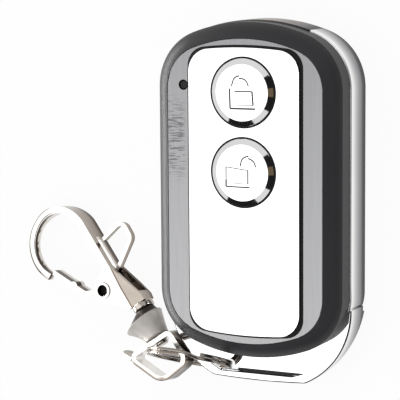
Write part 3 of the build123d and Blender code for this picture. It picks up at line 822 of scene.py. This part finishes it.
def oblong(half_width, half_length, corner, shift_x=0.0, shift_y=0.0):
    """Points round an oblong with bulged ends and round corners, centred on the frame."""
    arc_y = half_length - plate_bulge_radius
    corner_x = half_width - corner
    corner_y = arc_y + sqrt((plate_bulge_radius - corner) ** 2 - corner_x ** 2)
    turn = atan2(corner_y - arc_y, corner_x)
    quarter = []
    for k in range(oblong_steps + 1):
        angle = turn * k / oblong_steps
        quarter.append((corner_x + corner * cos(angle), corner_y + corner * sin(angle)))
    for k in range(1, oblong_steps + 1):
        angle = turn + (pi / 2 - turn) * k / oblong_steps
        x, rise = plate_bulge_radius * cos(angle), plate_bulge_radius * sin(angle)
        quarter.append((x, arc_y + rise))
    top = quarter + [(-x, y) for x, y in reversed(quarter[:-1])]
    around = top + [(-x, -y) for x, y in top]
    return [(x + shift_x, y + frame_middle_y + shift_y) for x, y in around]


def faceplate_shade_bead():
    """Thin black bead of painted shade in the gap round the mirror plate, a little wider on its
    right.
    """
    inner = oblong(10.62, 25.42, 4.12)
    outer = oblong(11.04, 25.78, 3.5, 0.2, 0.08)
    levels = ((inner, 12.35), (inner, 12.68), (outer, 12.64), (outer, 12.35))
    black_bead("faceplate_shade_bead", [
        [(x * MM, y * MM, z * MM) for x, y in points] for points, z in levels
    ])


shade_ring_inner, shade_ring_outer, shade_ring_low_z, shade_ring_high_z = 5.93, 6.27, 12.5, 12.96
shade_ring_segments = 96


def button_shade_ring(node_name):
    """Black ring of painted shade in the gap round a button."""
    middle_x, middle_y, top = middle_and_top(node_name)
    angles = [2 * pi * j / shade_ring_segments for j in range(shade_ring_segments)]
    section = (
        (shade_ring_inner, shade_ring_low_z), (shade_ring_inner, shade_ring_high_z),
        (shade_ring_outer, shade_ring_high_z), (shade_ring_outer, shade_ring_low_z),
    )
    black_bead(node_name + "_shade_ring", [
        [(middle_x + r * MM * cos(t), middle_y + r * MM * sin(t), z * MM) for t in angles]
        for r, z in section
    ])


rivet_a, rivet_b = 14.52, 5.04
bore_shade_profile = [(0.05, 1.35), (1.08, 1.35), (1.08, 1.1), (0.05, 1.1)]


def rivet_bore_shade():
    """Dark disc of painted shade down in the rivet's bore."""
    def place(k, angle):
        radius, c = bore_shade_profile[k]
        return hook_place(rivet_a + radius * cos(angle), rivet_b + radius * sin(angle), c)

    piece = turned_piece("rivet_bore_shade_disc", len(bore_shade_profile), place, 40)
    piece.data.materials.append(painted_shade_black)
    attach(piece, "hook")


broken_edge_mm = {
    "chrome_case": 0.0, "back_cover": 0.0, "front_frame": 0.0, "bezel": 0.06, "faceplate": 0.0,
    "lamp_lens": 0.05, "case_screws": 0.05, "key_ring": 0.1, "swivel_eye": 0.12,
    "swivel_pin": 0.05, "swivel_collar": 0.15, "hook_body": 0.12, "gate_lever": 0.1,
    "gate_rivet": 0.06,
}
for node_name, edge_mm in broken_edge_mm.items():
    smooth_copy(node_name, edge_mm)
button_cap("lock_button")
button_cap("unlock_button")
bell()
strap_end()
faceplate_shade_bead()
button_shade_ring("lock_button")
button_shade_ring("unlock_button")
rivet_bore_shade()


# Padlock signs, drawn as fine grooves filled with grey

sign_weight = 1.5
sign_flatness = 0.2
bare_line_radius = 0.001


def draw_stroke(curve, width, points, middle_x, middle_y):
    """Two points make a straight line, and more make a bow."""
    straight = len(points) == 2
    spline = curve.splines.new("POLY" if straight else "NURBS")
    spline.points.add(len(points) - 1)
    for place, (x, y) in zip(spline.points, points):
        place.co = (middle_x + x * MM, middle_y + y * MM, 0.0, 1.0)
        place.radius = sign_weight * width / 2 / bare_line_radius
    if not straight:
        spline.order_u = 3
        spline.use_endpoint_u = True
        spline.resolution_u = 8


def sign_strokes(name, node_name, strokes):
    """Fine lines on a button's face: each stroke is a width and points from its middle."""
    middle_x, middle_y, top = middle_and_top(node_name)
    curve = bpy.data.curves.new(name + "_line", "CURVE")
    curve.dimensions = "3D"
    curve.bevel_depth = bare_line_radius * MM
    curve.bevel_resolution = 1
    curve.use_fill_caps = True
    for width, points in strokes:
        draw_stroke(curve, width, points, middle_x, middle_y)
    line = bpy.data.objects.new(name + "_line", curve)
    bpy.context.scene.collection.objects.link(line)
    bpy.context.view_layer.update()
    solid_line = line.evaluated_get(bpy.context.evaluated_depsgraph_get())
    mesh = bpy.data.meshes.new_from_object(solid_line)
    bpy.data.objects.remove(line)
    bpy.data.curves.remove(curve)
    for vertex in mesh.vertices:
        vertex.co.z = top + vertex.co.z * sign_flatness
    for face in mesh.polygons:
        face.use_smooth = True
    sign = bpy.data.objects.new(name, mesh)
    bpy.context.scene.collection.objects.link(sign)
    mesh.materials.clear()
    mesh.materials.append(sign_grey)
    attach(sign, body_of_node[node_name])


closed_padlock = [
    (0.2, [(-2.3, 0.7), (-2.2, -2.8)]),
    (0.2, [(-2.2, -2.8), (2.6, -2.75)]),
    (0.2, [(2.0, 0.25), (2.2, -2.15)]),
    (0.15, [(-1.35, 0.2), (2.0, 0.25)]),
    (0.08, [(-1.0, -2.3), (2.2, -2.15)]),
    (0.16, [(-1.9, 1.1), (-1.7, 2.0), (-1.25, 2.75), (-0.45, 2.95)]),
    (0.16, [(-0.5, 2.5), (0.35, 2.5), (1.1, 1.9), (1.3, 1.15)]),
]
open_padlock = [
    (0.14, [(-3.05, 0.95), (-3.05, -1.3)]),
    (0.2, [(-3.05, -1.3), (-3.05, -2.5)]),
    (0.16, [(-3.05, -2.5), (1.5, -2.5)]),
    (0.16, [(1.15, 0.5), (1.15, -1.9)]),
    (0.1, [(-3.05, 0.95), (1.15, 0.5)]),
    (0.07, [(-2.0, -1.85), (1.1, -1.9)]),
    (0.16, [(-0.3, 1.2), (-0.15, 2.1), (0.35, 2.8), (1.3, 3.0)]),
    (0.16, [(1.2, 2.6), (1.9, 2.4), (2.5, 1.8), (2.65, 1.1)]),
]
sign_strokes("closed_padlock_sign", "lock_button", closed_padlock)
sign_strokes("open_padlock_sign", "unlock_button", open_padlock)


# Camera, solved from the photograph's own lines

aim = Vector((0.0, 2.2, 12.6)) * MM
aim_pixel = (244.1, 192.89)
image_size = 400.0
pixels_per_mm = 5.72
distance = 355.2 * MM
yaw, pitch, roll = radians(25.084), radians(7.758), radians(-0.256)
toward = Vector((sin(yaw) * cos(pitch), sin(pitch), cos(yaw) * cos(pitch)))
side = Vector((cos(yaw), 0.0, -sin(yaw)))
above = toward.cross(side)
right = side * cos(roll) + above * sin(roll)
up = above * cos(roll) - side * sin(roll)
focal = pixels_per_mm * distance / MM
right_of_middle, above_middle = aim_pixel[0] - image_size / 2, image_size / 2 - aim_pixel[1]
back = (toward * focal + right * right_of_middle + up * above_middle).normalized()
camera_right = (right - back * right.dot(back)).normalized()
camera_up = back.cross(camera_right)
camera_data = bpy.data.cameras.new("camera")
camera_data.sensor_width = 36.0
camera_data.lens = focal * camera_data.sensor_width / image_size
camera_data.clip_start = 0.01
camera = bpy.data.objects.new("camera", camera_data)
bpy.context.scene.collection.objects.link(camera)
turn = Matrix((camera_right, camera_up, back)).transposed().to_4x4()
camera.matrix_world = Matrix.Translation(aim + toward * distance) @ turn
bpy.context.scene.camera = camera


# Floor and light, in metres

floor_reach, floor_level = 1.2, -0.00003
floor_white = 0.92
floor_glow = 0.93


def combine(tree, operation, first, second):
    """Two numbers joined by an operation; the second may be a plain value."""
    node = tree.nodes.new("ShaderNodeMath")
    node.operation = operation
    link(tree, first, node.inputs[0])
    if isinstance(second, float):
        node.inputs[1].default_value = second
    else:
        link(tree, second, node.inputs[1])
    return node.outputs[0]


def make_floor():
    """White floor that takes the object's shadow and looks almost white to the camera."""
    corners = [
        (x * floor_reach, y * floor_reach, floor_level)
        for x, y in ((-1, -1), (1, -1), (1, 1), (-1, 1))
    ]
    mesh = bpy.data.meshes.new("floor")
    mesh.from_pydata(corners, [], [(0, 1, 2, 3)])
    floor = bpy.data.objects.new("floor", mesh)
    bpy.context.scene.collection.objects.link(floor)
    material, tree, shader = new_material("white_floor")
    shader.inputs["Base Color"].default_value = (*grey(floor_white), 1.0)
    shader.inputs["Roughness"].default_value = 0.8
    shader.inputs["Specular IOR Level"].default_value = 0.0
    glow = tree.nodes.new("ShaderNodeEmission")
    path = tree.nodes.new("ShaderNodeLightPath").outputs
    seen = combine(tree, "MAXIMUM", path["Is Camera Ray"], path["Is Glossy Ray"])
    seen = combine(tree, "MAXIMUM", seen, path["Is Transmission Ray"])
    mix = tree.nodes.new("ShaderNodeMixShader")
    link(tree, combine(tree, "MULTIPLY", seen, floor_glow), mix.inputs[0])
    link(tree, shader.outputs[0], mix.inputs[1])
    link(tree, glow.outputs[0], mix.inputs[2])
    link(tree, mix.outputs[0], tree.nodes["Material Output"].inputs["Surface"])
    mesh.materials.append(material)


def light_card(card, name, strength, colour=white):
    """Makes a card glow; only a softbox of middling strength also lights matt faces."""
    material = bpy.data.materials.new(name)
    material.use_nodes = True
    tree = material.node_tree
    tree.nodes.remove(tree.nodes["Principled BSDF"])
    glow = tree.nodes.new("ShaderNodeEmission")
    glow.inputs["Color"].default_value = (*colour, 1.0)
    glow.inputs["Strength"].default_value = strength
    link(tree, glow.outputs[0], tree.nodes["Material Output"].inputs["Surface"])
    card.data.materials.append(material)
    card.visible_camera = False
    card.visible_shadow = False
    card.visible_diffuse = 0.6 < strength < 3.0


def studio_card(name, toward_card, reach, width, height, strength, colour=white):
    """A card or softbox that faces the object and shows only in its reflections."""
    direction = Vector(toward_card).normalized()
    turn = direction.to_track_quat("Z", "Y").to_matrix().to_4x4()
    place = Matrix.Translation(direction * reach) @ turn
    w, h = width / 2, height / 2
    corners = [(-w, -h, 0), (-w, h, 0), (w, h, 0), (w, -h, 0)]
    mesh = bpy.data.meshes.new(name)
    mesh.from_pydata([tuple(place @ Vector(corner)) for corner in corners], [], [(0, 1, 2, 3)])
    card = bpy.data.objects.new(name, mesh)
    bpy.context.scene.collection.objects.link(card)
    light_card(card, name, strength, colour)


wall_steps = 24


def studio_wall(name, first_deg, last_deg, low, high, radius, strength):
    """Part of an upright ring of dark cloth round the table; it shows only in reflections."""
    work = bmesh.new()
    pairs = []
    for k in range(wall_steps + 1):
        angle = radians(first_deg + (last_deg - first_deg) * k / wall_steps)
        x, y = radius * cos(angle), radius * sin(angle)
        pairs.append((work.verts.new((x, y, low)), work.verts.new((x, y, high))))
    for (a, b), (c, d) in zip(pairs, pairs[1:]):
        work.faces.new((a, b, d, c))
    light_card(new_piece(name, work), name, strength)


cloth_glow = 0.012
wall_radius = 0.85
make_floor()
studio_card(
    "softbox", (-0.45, -0.12, 0.88), reach=0.8, width=0.62, height=0.95, strength=1.7,
)
studio_card(
    "dark_room_behind_camera", (0.44, -0.08, 0.88), reach=0.75, width=0.74, height=0.42,
    strength=cloth_glow,
)
studio_card(
    "warm_wall", (0.42, -0.03, 0.90), reach=0.7, width=0.16, height=0.07, strength=0.14,
    colour=(1.0, 0.72, 0.45),
)
studio_card(
    "left_strip", (-0.99, -0.1, 0.07), reach=0.8, width=1.2, height=0.16, strength=26.0,
)
studio_wall("dark_wall_right", -70.0, 40.0, 0.01, 0.4, wall_radius, cloth_glow)
studio_wall("dark_wall_front", -140.0, -70.0, 0.01, 0.74, wall_radius, cloth_glow)

world = bpy.data.worlds.new("studio")
world.use_nodes = True
bpy.context.scene.world = world
background = world.node_tree.nodes["Background"]
background.inputs["Color"].default_value = (*white, 1.0)
background.inputs["Strength"].default_value = 0.75

bpy.context.scene.view_settings.view_transform = "Standard"
